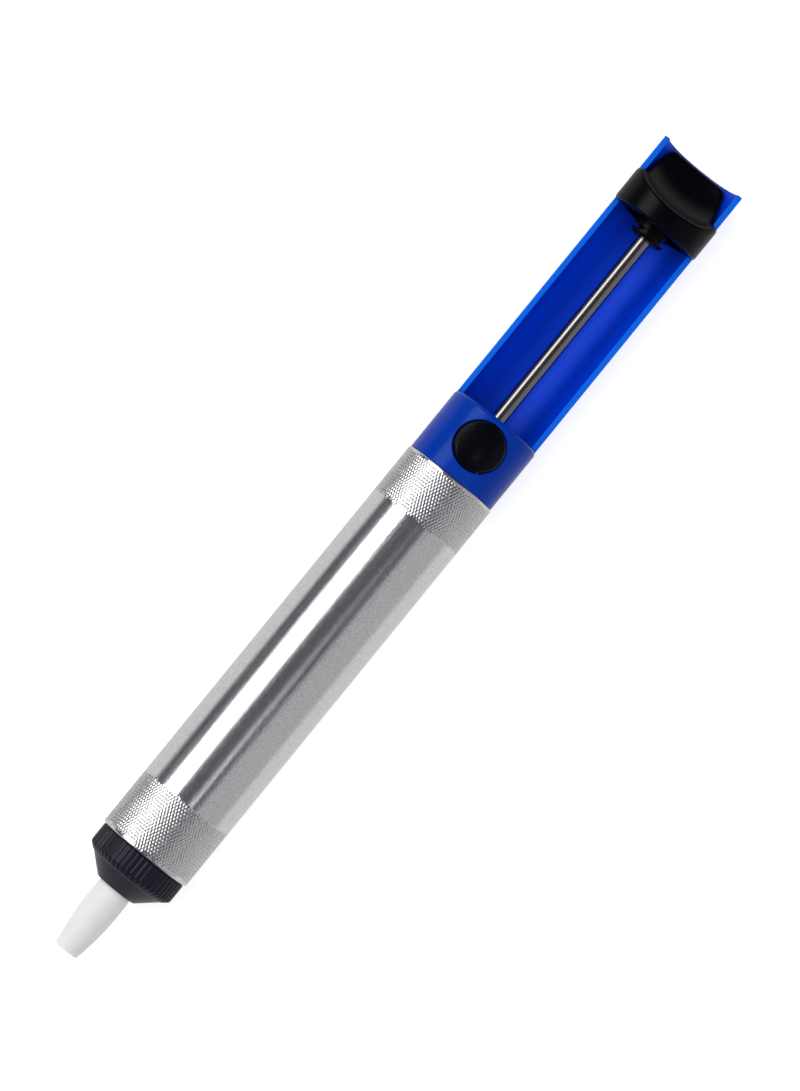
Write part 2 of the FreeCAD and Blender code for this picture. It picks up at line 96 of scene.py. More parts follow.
def mesh_from(name, points, quads):
    """A smooth-shaded mesh object from points in millimetres and four-cornered faces."""
    mesh = bpy.data.meshes.new(name)
    mesh.vertices.add(len(points))
    mesh.vertices.foreach_set("co", (points * MM).astype(np.float32).ravel())
    mesh.loops.add(quads.size)
    mesh.loops.foreach_set("vertex_index", quads.astype(np.int32).ravel())
    mesh.polygons.add(len(quads))
    mesh.polygons.foreach_set("loop_start", np.arange(0, quads.size, 4, dtype=np.int32))
    mesh.polygons.foreach_set("use_smooth", np.ones(len(quads), bool))
    mesh.update(calc_edges=True)
    mesh.validate()
    piece = bpy.data.objects.new(name, mesh)
    bpy.context.scene.collection.objects.link(piece)
    print(f"{name}: {len(quads)} faces")
    return piece


# %% Rounded outlines
def rounded(corners, steps=6):
    """A closed outline. Each corner is (x, radius, rounding), and becomes a short Bezier curve that starts
    and ends that far from the corner. A rounding of 0 keeps the corner sharp."""
    outline = []
    count = len(corners)
    for n, (x, r, cut) in enumerate(corners):
        corner = np.array([x, r], float)
        if cut == 0:
            outline.append(corner)
            continue
        before = np.array(corners[n - 1][:2], float) - corner
        after = np.array(corners[(n + 1) % count][:2], float) - corner
        start = corner + before / np.linalg.norm(before) * cut
        end = corner + after / np.linalg.norm(after) * cut
        for t in np.linspace(0, 1, steps):
            outline.append((1 - t) ** 2 * start + 2 * t * (1 - t) * corner + t * t * end)
    return np.array(outline)


washer_like = [(0, 1, 0.1), (1, 1, 0.1), (1, 2, 0), (0, 2, 0)]
print("an outline of 4 corners, two of them rounded:", len(rounded(washer_like)), "points")


# %% Spun surfaces
def spun(outline, around, radius_change=None):
    """Spins a closed outline of (x, radius) round the X axis: y is the radius times the angle's sine, and z
    the radius times its cosine. radius_change adds to the radius, one value for each point and angle."""
    angle = np.arange(around) * TAU / around
    x = np.repeat(outline[:, :1], around, axis=1)
    radius = np.repeat(outline[:, 1:], around, axis=1)
    if radius_change is not None:
        radius = radius + radius_change(x, radius, angle[None, :])
    return np.stack([x, radius * np.sin(angle), radius * np.cos(angle)], axis=-1)


def smooth_step(value, low, high):
    """0 below low, 1 above high, and a smooth S between."""
    t = np.clip((value - low) / (high - low), 0, 1)
    return t * t * (3 - 2 * t)


print("the same outline spun in 24 steps:", spun(rounded(washer_like), 24).shape[:2], "points")
print("a smooth step at 1/4, 1/2 and 3/4:", smooth_step(np.array([0.25, 0.5, 0.75]), 0, 1))


# %% [markdown]
# ## Finishes
#
# The tool has few materials, but each is easy to recognise: bright drawn aluminium, PTFE that lets a
# little light in, satin black moulding, glossy blue moulding, and polished steel. Each function below sets
# the plain values on the Principled shader, then feeds only what varies over the surface, such as
# roughness and bump, from noise on Object coordinates.


# %% Node helpers
def new_material(name, color, roughness, metallic=0.0):
    """A material and its Principled shader, with the values that are the same all over."""
    material = bpy.data.materials.new(name)
    material.use_nodes = True
    shader = material.node_tree.nodes["Principled BSDF"]
    shader.inputs["Base Color"].default_value = (*color, 1)
    shader.inputs["Roughness"].default_value = roughness
    shader.inputs["Metallic"].default_value = metallic
    return material, shader


def object_coords(material, scale=(1, 1, 1)):
    """Object coordinates, stretched by a Mapping node."""
    tree = material.node_tree
    coords = tree.nodes.new("ShaderNodeTexCoord")
    mapping = tree.nodes.new("ShaderNodeMapping")
    mapping.inputs["Scale"].default_value = scale
    tree.links.new(coords.outputs["Object"], mapping.inputs["Vector"])
    return mapping.outputs["Vector"]


def noise(material, vector, scale, detail=3.0, roughness=0.5):
    """Noise between 0 and 1, mostly near 0.5."""
    tree = material.node_tree
    node = tree.nodes.new("ShaderNodeTexNoise")
    node.inputs["Scale"].default_value = scale
    node.inputs["Detail"].default_value = detail
    node.inputs["Roughness"].default_value = roughness
    tree.links.new(vector, node.inputs["Vector"])
    return node.outputs["Fac"]


def remap(material, value, low, high, from_low=0.3, from_high=0.7):
    """Runs from low to high as value runs over the range that noise mostly covers, or over a stated one."""
    tree = material.node_tree
    node = tree.nodes.new("ShaderNodeMapRange")
    node.inputs["From Min"].default_value = from_low
    node.inputs["From Max"].default_value = from_high
    node.inputs["To Min"].default_value = low
    node.inputs["To Max"].default_value = high
    tree.links.new(value, node.inputs["Value"])
    return node.outputs["Result"]


def blend_colors(material, value, first, second):
    """Runs from first to second as value runs from 0 to 1. Each is a colour or another node's output."""
    tree = material.node_tree
    node = tree.nodes.new("ShaderNodeMix")
    node.data_type = "RGBA"
    for socket, color in ((node.inputs[6], first), (node.inputs[7], second)):
        if isinstance(color, tuple):
            socket.default_value = (*color, 1)
        else:
            tree.links.new(color, socket)
    tree.links.new(value, node.inputs[0])
    return node.outputs[2]


def multiply(material, first, second):
    """The product of two outputs."""
    tree = material.node_tree
    node = tree.nodes.new("ShaderNodeMath")
    node.operation = "MULTIPLY"
    tree.links.new(first, node.inputs[0])
    tree.links.new(second, node.inputs[1])
    return node.outputs[0]


def add_bump(material, shader, value, strength, distance_mm):
    """Tilts the surface as if value were a height of up to distance_mm."""
    tree = material.node_tree
    node = tree.nodes.new("ShaderNodeBump")
    node.inputs["Strength"].default_value = strength
    node.inputs["Distance"].default_value = distance_mm * MM
    tree.links.new(value, node.inputs["Height"])
    tree.links.new(node.outputs["Normal"], shader.inputs["Normal"])


def link(material, output, shader, socket):
    """Feeds an output into one of the shader's sockets."""
    material.node_tree.links.new(output, shader.inputs[socket])


print("materials before the first finish:", len(bpy.data.materials))

# %% [markdown]
# ### Metals
#
# Metal has no colour of its own besides what it mirrors, so its look is in its roughness. Marks that are
# stretched along the tube or round the rod come from noise whose coordinates are squeezed in one direction.
# The aluminium also needs dark grooves: the knurling wheels leave oxide and dirt there, which polishing
# doesn't reach, and the dark colour there also holds painted shade for the grooves' own shadow. A bump can't
# darken anything, so the tube tells its material how deep each point lies.

# %% Drawn aluminium
GRAIN_SCALE = 4200
DULL_GRAIN = (0.70, 0.70, 0.71)
BRIGHT_GRAIN = (0.90, 0.90, 0.90)
# Groove colour: oxide, and painted shade for the groove's own shadow.
OXIDE_AND_GROOVE_SHADE = (0.17, 0.17, 0.175)


def drawn_aluminium():
    """Bright tube stock: fine drawing marks along X, a sparkling grain, and dark oxide with painted shade in
    the knurl's grooves. The tube carries an attribute, cut, that is 1 at the bottom of a groove."""
    material, shader = new_material("drawn_aluminium", (0.80, 0.80, 0.805), 0.2, 1.0)
    tree = material.node_tree
    grain = noise(material, object_coords(material, (0.7, 1, 1)), GRAIN_SCALE, 2, 0.6)
    marks = noise(material, object_coords(material, (18, 900, 900)), 3.2, 3, 0.6)
    link(material, remap(material, marks, 0.13, 0.24), shader, "Roughness")
    cut = tree.nodes.new("ShaderNodeAttribute")
    cut.attribute_name = "cut"
    bright = blend_colors(material, remap(material, grain, 0, 1, 0.36, 0.64), DULL_GRAIN, BRIGHT_GRAIN)
    # Darker towards a groove's bottom: part oxide, part painted shade.
    oxide_and_shade = remap(material, cut.outputs["Fac"], 0, 1, 0.5, 0.9)
    link(material, blend_colors(material, oxide_and_shade, bright, OXIDE_AND_GROOVE_SHADE), shader, "Base Color")
    add_bump(material, shader, grain, 1.0, 0.016)
    return material


ALUMINIUM = drawn_aluminium()
print(ALUMINIUM.name, "has", len(ALUMINIUM.node_tree.nodes), "nodes")


# %% Steels
def polished_steel():
    """Ground and polished rod: very fine turning marks round the axis."""
    material, shader = new_material("polished_steel", (0.28, 0.265, 0.255), 0.14, 1.0)
    marks = noise(material, object_coords(material, (2600, 60, 60)), 1.0, 3, 0.55)
    link(material, remap(material, marks, 0.1, 0.24), shader, "Roughness")
    add_bump(material, shader, marks, 0.12, 0.004)
    return material


def plated_steel(name, color, roughness):
    """Zinc-plated or spring steel, slightly cloudy."""
    material, shader = new_material(name, color, roughness, 1.0)
    cloud = noise(material, object_coords(material), 900, 4, 0.6)
    link(material, remap(material, cloud, roughness - 0.07, roughness + 0.12), shader, "Roughness")
    add_bump(material, shader, cloud, 0.1, 0.01)
    return material


ROD_STEEL = polished_steel()
SPRING_STEEL = plated_steel("spring_wire", (0.52, 0.52, 0.53), 0.27)
PLAIN_STEEL = plated_steel("zinc_plate", (0.62, 0.62, 0.6), 0.34)
print("steels:", ROD_STEEL.name, SPRING_STEEL.name, PLAIN_STEEL.name)

# %% [markdown]
# ### Plastics and rubber
#
# PTFE is waxy because light goes a millimetre or two into it, which subsurface scattering gives. The black
# mouldings differ from each other only in how they shine, so one function makes them all. The blue moulding
# is coloured through and lets light pass where it is thin. Real scattering through the wall would be slow
# and noisy, so that light is painted into its colour by position instead: deep on the collar, painted
# brighter on the guard as if light came through the thin wall, and brightest on the guard's long edges,
# where a painted highlight stands for the light from above on their faces.


# %% White PTFE
SCATTER_MM = 1.6
PTFE_DEEP = (0.66, 0.67, 0.66)
PTFE_PALE = (0.73, 0.73, 0.72)


def ptfe():
    """White PTFE: waxy, slightly translucent, with a soft sheen."""
    material, shader = new_material("ptfe", (0.7, 0.705, 0.7), 0.42)
    shader.inputs["Subsurface Weight"].default_value = 0.35
    shader.inputs["Subsurface Radius"].default_value = (1.0, 0.95, 0.85)
    shader.inputs["Subsurface Scale"].default_value = SCATTER_MM * MM
    shader.inputs["IOR"].default_value = 1.36
    cloud = noise(material, object_coords(material, (0.5, 1, 1)), 700, 4, 0.5)
    link(material, remap(material, cloud, 0.36, 0.5), shader, "Roughness")
    link(material, blend_colors(material, cloud, PTFE_DEEP, PTFE_PALE), shader, "Base Color")
    add_bump(material, shader, cloud, 0.06, 0.02)
    return material


PTFE = ptfe()
print(PTFE.name, "scatters light over", SCATTER_MM, "mm")


# %% Blue moulding
def moulding(name, color, roughness, spread, bump, gloss=0.5):
    """Moulded plastic: even colour, with a roughness that wanders and a faint ripple in the skin. gloss is
    the strength of its reflection, 0.5 for clean plastic and less for a dull one."""
    material, shader = new_material(name, color, roughness)
    shader.inputs["IOR"].default_value = 1.5
    shader.inputs["Specular IOR Level"].default_value = gloss
    fine = noise(material, object_coords(material), 2400, 3, 0.6)
    link(material, remap(material, fine, roughness - spread, roughness + spread), shader, "Roughness")
    add_bump(material, shader, fine, bump, 0.01)
    return material, shader


COLLAR_BLUE = (0.0, 0.028, 0.30)
# Painted light: the guard's brighter blue, as if light passed through its thin wall.
GUARD_PAINTED_GLOW_BLUE = (0.0, 0.042, 0.60)
# Painted highlight on the guard's long edge faces, which face the light from above.
EDGE_PAINTED_HIGHLIGHT_BLUE = (0.0, 0.11, 0.70)
COLLAR_ROUGHNESS = 0.22
GUARD_ROUGHNESS = 0.42
COLLAR_END = (130.4 * MM, 130.6 * MM)
EDGE_STRIP_LOW = (-0.5 * MM, -0.1 * MM)
EDGE_STRIP_HIGH = (0.02 * MM, 0.1 * MM)


def blue_moulding():
    """Blue plastic that lets some light through, painted into its colour. The thin guard is painted brighter
    than the solid collar, and its long edges, which lie in the plane of the axis, carry a painted highlight
    for the light from above."""
    material, shader = moulding("blue_moulding", COLLAR_BLUE, COLLAR_ROUGHNESS, 0.05, 0.04, 0.2)
    shader.inputs["Specular Tint"].default_value = (0.5, 0.72, 1, 1)
    tree = material.node_tree
    split = tree.nodes.new("ShaderNodeSeparateXYZ")
    tree.links.new(object_coords(material), split.inputs["Vector"])
    # A strip along the guard's long edges, where the painted highlight goes.
    near_edge = remap(material, split.outputs["Z"], 0, 1, *EDGE_STRIP_LOW)
    below_axis = remap(material, split.outputs["Z"], 1, 0, *EDGE_STRIP_HIGH)
    strip = multiply(material, near_edge, below_axis)
    behind_collar = remap(material, split.outputs["X"], 0, 1, *COLLAR_END)
    painted_edge_highlight = multiply(material, strip, behind_collar)
    roughness = remap(material, behind_collar, COLLAR_ROUGHNESS, GUARD_ROUGHNESS, 0, 1)
    link(material, roughness, shader, "Roughness")
    # Painted light: the guard is painted brighter than the collar.
    wall = blend_colors(material, behind_collar, COLLAR_BLUE, GUARD_PAINTED_GLOW_BLUE)
    # Painted highlight mixed in on the guard's long edges.
    color = blend_colors(material, painted_edge_highlight, wall, EDGE_PAINTED_HIGHLIGHT_BLUE)
    link(material, color, shader, "Base Color")
    return material


BLUE = blue_moulding()
print(BLUE.name, "has", len(BLUE.node_tree.nodes), "nodes")

# %% Black mouldings, nylon and rubber
CAP_BLACK = moulding("cap_black", (0.004, 0.005, 0.013), 0.33, 0.07, 0.1, 0.3)[0]
BUTTON_BLACK = moulding("button_black", (0.0012, 0.0012, 0.0025), 0.26, 0.06, 0.06, 0.13)[0]
KNOB_BLACK = moulding("knob_black", (0.0006, 0.0006, 0.002), 0.3, 0.06, 0.05, 0.1)[0]
CATCH_BLACK = moulding("catch_black", (0.001, 0.001, 0.002), 0.32, 0.06, 0.05, 0.12)[0]
NYLON = moulding("natural_nylon", (0.74, 0.71, 0.62), 0.4, 0.08, 0.06)[0]
NITRILE = moulding("nitrile_rubber", (0.02, 0.02, 0.021), 0.55, 0.1, 0.12)[0]
print("finishes made:", len(bpy.data.materials))

# %% [markdown]
# ### Who wears what
#
# Fifteen solids keep their CAD mesh and only need a finish. Their shapes are plain enough that a rebuilt
# surface would add nothing. The six that get a new surface below are given one too, so that none is bare.

# %% Give the CAD solids their finishes
finishes = {
    "cap_o_ring": NITRILE,
    "spring_seat_washer": PLAIN_STEEL,
    "piston": NYLON,
    "piston_o_ring": NITRILE,
    "piston_washer": PLAIN_STEEL,
    "piston_nut": PLAIN_STEEL,
    "piston_clip": SPRING_STEEL,
    "plunger_rod": ROD_STEEL,
    "cleaning_pin": ROD_STEEL,
    "rod_guide": NYLON,
    "stop_bumper": NITRILE,
    "handle_housing": BLUE,
    "button_cover": BLUE,
    "release_button": BUTTON_BLACK,
    "catch_collar": CATCH_BLACK,
    "nozzle": PTFE,
    "nozzle_cap": CAP_BLACK,
    "barrel": ALUMINIUM,
    "main_spring": SPRING_STEEL,
    "button_spring": SPRING_STEEL,
    "thumb_knob": KNOB_BLACK,
}
for name, material in finishes.items():
    nodes[name].data.materials.clear()
    nodes[name].data.materials.append(material)
print("finished CAD nodes:", len(finishes))


def place(piece, body, material, slot, *replaced):
    """Gives a new piece its finish and its body, and hides the CAD nodes that it stands for."""
    piece.data.materials.append(material)
    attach(piece, body)
    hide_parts(*replaced)
    return piece


# %% [markdown]
# ## The barrel
#
# The grip bands at the ends of the tube are rolled in by two hard wheels, whose teeth lean opposite ways.
# They press two sets of fine straight grooves that cross, and leave small diamonds standing. The grooves
# start and stop raggedly where the wheels touched down. A bump map would vanish at the outline, so the
# grooves are cut into the surface itself. The grid is set out so that the grooves run exactly along its
# diagonals, which keeps them crisp with few faces.

# %% Sizes of the tube and its knurling
barrel_front, barrel_rear = span_x("barrel")
tube_radius = 10.0
bore_radius = 8.5
seat_radius = 9.0
front_seat, rear_seat = 7.4, 8.0
lip = 0.3
lines_round = 100
cells_per_line = 6
lean = math.radians(26)
line_pitch_x = TAU * tube_radius / (lines_round * math.tan(lean))
row_step = line_pitch_x / cells_per_line
groove_width = 0.78
groove_depth = 0.17
roughness_of_cut = 0.012
shallowest_bite = 0.66
front_band, rear_band = 12.6, 10.7
plain_rim_front, plain_rim_rear = 0.45, 0.3
band_fade = 0.2
sway_round, sway_along = 1.6, 0.25
edge_run, edge_drop = 0.08, 0.1
rows_past_band = 0.7
print(f"{lines_round} grooves each way, {TAU * tube_radius / lines_round:.2f} mm apart round the tube")


# %% Two crossing sets of grooves
def groove(phase):
    """A V-shaped groove once per unit of phase: 1 at its bottom, 0 outside its width."""
    across = np.abs(phase - np.floor(phase) - 0.5) * 2
    return np.clip(1 - across / groove_width, 0, 1)


def ragged(angle, seed, size=0.13):
    """A small wandering offset round the tube, from a few sine waves of random phase."""
    rng = np.random.default_rng(seed)
    total = np.zeros_like(angle)
    for waves in (4, 9, 23, 50):
        total = total + np.sin(waves * angle + rng.uniform(0, TAU)) * rng.uniform(0.5, 1.0)
    return total * size


def knurl_cut(x, radius, angle):
    """How far into a groove each point is, from 0 to 1. The phase of one set is turn + along and of the
    other turn - along, where turn counts lines round the tube and along counts them down it. The wheels
    don't press evenly, so where one set bites deep the other is shallower, in slow waves."""
    turn = lines_round * angle / TAU
    along = x / line_pitch_x
    sway = np.clip(0.5 + sway_round * ragged(angle, 9) + sway_along * np.sin(0.9 * x + 3 * angle), 0, 1)
    bite_one = shallowest_bite + (1 - shallowest_bite) * sway
    bite_two = shallowest_bite + (1 - shallowest_bite) * (1 - sway)
    cut = np.maximum(groove(turn + along) * bite_one, groove(turn - along) * bite_two)
    front_start = barrel_front + lip + plain_rim_front + ragged(angle, 5)
    front_end = barrel_front + front_band + ragged(angle, 3)
    rear_start = barrel_rear - rear_band + ragged(angle, 4)
    rear_end = barrel_rear - lip - plain_rim_rear + ragged(angle, 6, 0.06)
    fade = (-band_fade, band_fade)
    in_front = smooth_step(x - front_start, *fade) * smooth_step(front_end - x, *fade)
    in_rear = smooth_step(x - rear_start, *fade) * smooth_step(rear_end - x, *fade)
    outer = radius > tube_radius - 0.01
    return cut * (in_front + in_rear) * outer


def knurl(x, radius, angle):
    """Lowers the surface in the grooves, and tears it a little wherever the wheels pressed."""
    cut = knurl_cut(x, radius, angle)
    torn = np.random.default_rng(8).uniform(0, roughness_of_cut, radius.shape)
    return -groove_depth * cut - torn * (cut > 0)


print("groove depth at its middle and edge:", groove(np.array([0.5, 0.9])) * groove_depth)


# %% Knurled tube
def barrel_outline():
    """Along the outside from front to rear, then back through the bore. The bands have a row every grid
    step."""
    front_rows = np.arange(barrel_front + lip, barrel_front + front_band + rows_past_band, row_step)
    rear_rows = np.arange(barrel_rear - lip, barrel_rear - rear_band - rows_past_band, -row_step)[::-1]
    middle_rows = np.linspace(front_rows[-1], rear_rows[0], 8)[1:-1]
    outside = np.concatenate([front_rows, middle_rows, rear_rows])
    wall = np.stack([outside, np.full_like(outside, tube_radius)], axis=1)
    front_edge = [(barrel_front, tube_radius - lip), (barrel_front + edge_run, tube_radius - edge_drop)]
    rear_edge = [(barrel_rear - edge_run, tube_radius - edge_drop), (barrel_rear, tube_radius - lip)]
    inside = [
        (barrel_rear, seat_radius),
        (barrel_rear - rear_seat, seat_radius),
        (barrel_rear - rear_seat, bore_radius),
        (barrel_front + front_seat, bore_radius),
        (barrel_front + front_seat, seat_radius),
        (barrel_front, seat_radius),
    ]
    return np.concatenate([front_edge, wall, rear_edge, inside])


steps_round = lines_round * cells_per_line
barrel_tube = sheet_mesh("barrel_tube", spun(barrel_outline(), steps_round, knurl))
place(barrel_tube, "barrel", ALUMINIUM, "barrel_aluminium", "barrel")

# %% Tell the aluminium where the grooves are
smooth_tube = spun(barrel_outline(), steps_round)
tube_angle = (np.arange(steps_round) * TAU / steps_round)[None, :]
tube_cut = knurl_cut(smooth_tube[..., 0], np.hypot(smooth_tube[..., 1], smooth_tube[..., 2]), tube_angle)
# cut sets where the grooves' dark colour goes: oxide and painted shade.
cut_attribute = barrel_tube.data.attributes.new("cut", "FLOAT", "POINT")
cut_attribute.data.foreach_set("value", tube_cut.astype(np.float32).ravel())
print(f"share of the tube's points that lie in a groove: {(tube_cut > 0).mean():.2f}")

# %% [markdown]
# ## The nozzle
#
# The tip is turned from a bar of PTFE, because solder doesn't stick to it and it stands the heat. Its taper
# isn't a straight cone: it swells quickly behind the mouth and then runs almost straight. A cone with a
# bevel would miss that, so the outline holds an arc of a circle through three points, and only the corners
# of the flange and the bore are rounded afterwards.

# %% An arc through three points
def arc_through(first, middle, last, steps):
    """Points on the circle through three points, from the first to the last, evenly spread in angle."""
    (ax, ay), (bx, by), (cx, cy) = first, middle, last
    d = 2 * (ax * (by - cy) + bx * (cy - ay) + cx * (ay - by))
    a2, b2, c2 = ax * ax + ay * ay, bx * bx + by * by, cx * cx + cy * cy
    x0 = (a2 * (by - cy) + b2 * (cy - ay) + c2 * (ay - by)) / d
    y0 = (a2 * (cx - bx) + b2 * (ax - cx) + c2 * (bx - ax)) / d
    angles = np.linspace(math.atan2(ay - y0, ax - x0), math.atan2(cy - y0, cx - x0), steps)
    reach = math.hypot(ax - x0, ay - y0)
    return np.stack([x0 + reach * np.cos(angles), y0 + reach * np.sin(angles)], axis=1)


print("a quarter circle's middle:", arc_through((1, 0), (math.sqrt(0.5), math.sqrt(0.5)), (0, 1), 3)[1])

# %% Turned nozzle
mouth_radius = 2.55
mouth_rounding = 0.33
swell = (5.0, mouth_radius + 0.73)
nozzle_bore = 1.5
shank_radius = 3.5
shank_front = 15.0
flange_radius = 5.0
flange_front, flange_rear = 17.5, 19.5


def nozzle_outline():
    """The curved taper from the mouth to the straight shank, then round the flange and back through the
    bore. The shank's front is a corner of both parts, so the second drops it."""
    taper = arc_through((0.35, mouth_radius), swell, (shank_front, shank_radius), 40)
    behind = rounded(
        [
            (flange_front, shank_radius, 0.12),
            (flange_front, flange_radius, 0.2),
            (flange_rear, flange_radius, 0.2),
            (flange_rear, nozzle_bore, 0.15),
            (0, nozzle_bore, 0.15),
            (0, mouth_radius, mouth_rounding),
            (shank_front, shank_radius, 0),
        ]
    )
    return np.concatenate([taper, behind[:-1]])


nozzle_tip = sheet_mesh("nozzle_tip", spun(nozzle_outline(), 160))
place(nozzle_tip, "nozzle_seat", PTFE, "nozzle_ptfe", "nozzle")

# %% [markdown]
# ## The cap
#
# The black cap has a cone, a ledge, and a grip of 52 fine ribs whose front ends are rounded nubs. Behind
# the grip are a groove for the rubber ring and a thread of 1.5 mm pitch, which shows when the cap is off.
# The outline alone can't hold ribs or a thread, since both change round the axis. So the spin adds a second
# function to the radius: the ribs repeat 52 times in a turn, and the thread's phase grows with x and angle
# together, which makes a helix.

# %% Sizes of the cap
cap_front, cap_rear = span_x("nozzle_cap")
mouth_hole = 3.55
cone_tip = 4.35
cone_end = (18.38, 8.13)
ledge = (18.5, 8.42)
grip_front, grip_rear = 19.55, 23.7
grip_radius = 9.4
rib_count = 52
samples_per_rib = 10
rib_height = 0.2
rib_flank = (-0.45, 0.35)
rib_floor = 8.3
nub_front, nub_length = 18.62, 0.75
ring_groove_front, ring_groove_rear = 24.4, 25.7
ring_groove_floor = 7.75
thread_pitch = 1.5
crest_radius = 8.95
thread_depth = 0.42
thread_flank = (0.35, 0.8)
thread_floor = 8.5
thread_start = 25.85
run_in, run_out = (25.9, 26.5), (30.2, 30.7)
rows_per_turn = 14
cap_hollow = 7.1
nozzle_pocket = [
    (20.05, cap_hollow, 0.1),
    (20.05, 6.7, 0),
    (19.5, 6.7, 0),
    (19.5, 5.05, 0),
    (17.5, 5.05, 0),
]
print(f"ribs {TAU * (grip_radius + rib_height) / rib_count:.2f} mm apart, thread {thread_pitch} mm a turn")


# %% Ribs and thread
def cap_surface(x, radius, angle):
    """Ribs: a flat-topped wave round the grip, which rises in a quarter circle behind the ledge and ends
    just before the rear face. Thread: a trapezoid wave of the phase x / pitch + angle / turn, behind the
    ring's groove, which fades in and out at its ends."""
    wave = np.cos(rib_count * angle)
    rib = smooth_step(wave, *rib_flank)
    rise = np.clip((x - nub_front) / nub_length, 0, 1)
    nub = np.sqrt(rise * (2 - rise))
    tail = smooth_step(grip_rear - 0.06 - x, 0, 0.2)
    outside = (radius > rib_floor) & (x < grip_rear)
    ribs = rib_height * rib * nub * tail * outside
    phase = x / thread_pitch + angle / TAU
    ramp = np.abs(phase - np.floor(phase) - 0.5) * 2
    valley = smooth_step(ramp, *thread_flank)
    threaded = smooth_step(x, *run_in) * (1 - smooth_step(x, *run_out)) * (radius > thread_floor)
    return ribs - thread_depth * valley * threaded


on_and_between = np.array([0, math.pi / rib_count])
print("change of radius on a rib and between two:", cap_surface(21.0, grip_radius, on_and_between))


# %% Ribbed and threaded cap
def straight(stations, radius):
    """Points at the given stations along the axis, all at one radius."""
    return np.stack([stations, np.full_like(stations, radius)], axis=1)


def cap_outline():
    """The cone, ledge and grip, the ring's groove, the thread, and back through the hollow."""
    front = rounded(
        [
            (cap_front, mouth_hole, 0.1),
            (cap_front, cone_tip, 0.18),
            (*cone_end, 0.12),
            (*ledge, 0.08),
            (grip_front, grip_radius, 0.35),
            (grip_rear, grip_radius, 0),
        ],
        5,
    )[:-1]
    grip = straight(np.linspace(20.1, grip_rear - 0.3, 6), grip_radius)
    end = [
        (grip_rear - 0.15, grip_radius),
        (grip_rear - 0.04, grip_radius - 0.04),
        (grip_rear, grip_radius - 0.14),
    ]
    neck = rounded(
        [
            (grip_rear, crest_radius, 0),
            (ring_groove_front, crest_radius, 0.08),
            (ring_groove_front, ring_groove_floor, 0.15),
            (ring_groove_rear, ring_groove_floor, 0.15),
            (ring_groove_rear, crest_radius, 0),
        ],
        4,
    )
    thread = straight(np.arange(thread_start, cap_rear - 0.3, thread_pitch / rows_per_turn), crest_radius)
    inside = rounded(
        [
            (cap_rear, crest_radius - 0.35, 0.1),
            (cap_rear, cap_hollow, 0.2),
            *nozzle_pocket,
            (17.5, mouth_hole, 0),
        ],
        4,
    )
    return np.concatenate([front, grip, end, neck, thread, inside])


screw_cap = sheet_mesh("screw_cap", spun(cap_outline(), rib_count * samples_per_rib, cap_surface))
place(screw_cap, "cap", CAP_BLACK, "cap_plastic", "nozzle_cap")

# %% [markdown]
# ## The springs
#
# A spring could be a curve with a round bevel, but its dead end coils and its rounded wire ends are easier
# to shape as one grid: rows follow the helix, and columns go round the wire. In the tool the main spring is
# squashed along the tool as the plunger is pushed, and the small one under the button along its own axis;
# this script builds each at one fixed length.


# %% Coil springs
steps_per_turn = 36
steps_round_wire = 12
dead_coil_room = 1.04


def coil_spring(coil_radius, wire, start, length, turns, dead_turns):
    """A helix about X. Its rise per turn is one wire thickness in the dead coils at each end, and even in
    between. The tube's section is a circle of the wire's radius in the plane across the helix, and shrinks
    in a half circle at both ends."""
    steps = int(turns * steps_per_turn)
    t = np.linspace(0, turns, steps)
    opening = (dead_turns * 0.7, dead_turns * 1.3)
    live = smooth_step(t, *opening) * smooth_step(turns - t, *opening)
    step = t[1] - t[0]
    tight = 2 * wire * dead_coil_room
    live_turns = live.sum() * step
    live_pitch = (length - 2 * wire - tight * (turns - live_turns)) / live_turns
    rise = np.cumsum(tight + (live_pitch - tight) * live) * step
    rise = (rise - rise[0]) * (length - 2 * wire) / (rise[-1] - rise[0])
    angle = -TAU * t
    outward = np.stack([np.zeros_like(t), np.sin(angle), np.cos(angle)], axis=-1)
    centre = coil_radius * outward
    centre[:, 0] = start + wire + rise
    along = np.gradient(centre, axis=0)
    along /= np.linalg.norm(along, axis=1, keepdims=True)
    sideways = np.cross(along, outward)
    walked = np.minimum(t, turns - t) * TAU * coil_radius / wire
    thick = wire * np.sqrt(np.clip(walked * (2 - walked), 0, 1) * (walked < 1) + (walked >= 1))
    round_wire = np.linspace(0, TAU, steps_round_wire, endpoint=False)[None, :, None]
    across = np.cos(round_wire) * outward[:, None] + np.sin(round_wire) * sideways[:, None]
    return centre[:, None] + thick[:, None, None] * across


def close_poles(piece):
    """Merges the points of each closed end into one, and turns every face outwards."""
    work = bmesh.new()
    work.from_mesh(piece.data)
    bmesh.ops.remove_doubles(work, verts=work.verts, dist=0.0005 * MM)
    bmesh.ops.recalc_face_normals(work, faces=work.faces)
    work.to_mesh(piece.data)
    work.free()
    piece.data.shade_smooth()


# %% Main spring
seat_rear = 20.0
piston_front = 92.5
end_room = 0.05
main_start = seat_rear + end_room
main_length = piston_front - end_room - main_start
main_points = coil_spring(
    coil_radius=6.1, wire=0.55, start=main_start, length=main_length, turns=15, dead_turns=1.1
)
main_coil = sheet_mesh("main_coil", main_points, close_u=False)
close_poles(main_coil)
place(main_coil, "barrel", SPRING_STEEL, "spring_steel", "main_spring")
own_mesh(main_coil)

# %% Button spring
button_low, button_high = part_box("button_spring")
button_length = (button_high.z - button_low.z) / MM
button_middle = (button_low.x + button_high.x) / 2 / MM
button_points = coil_spring(
    coil_radius=2.0, wire=0.3, start=button_low.z / MM, length=button_length, turns=3, dead_turns=0.6
)
upright = button_points[..., [2, 1, 0]] * (-1, 1, 1) + (button_middle, 0, 0)
button_coil = sheet_mesh("button_coil", upright, close_u=False)
close_poles(button_coil)
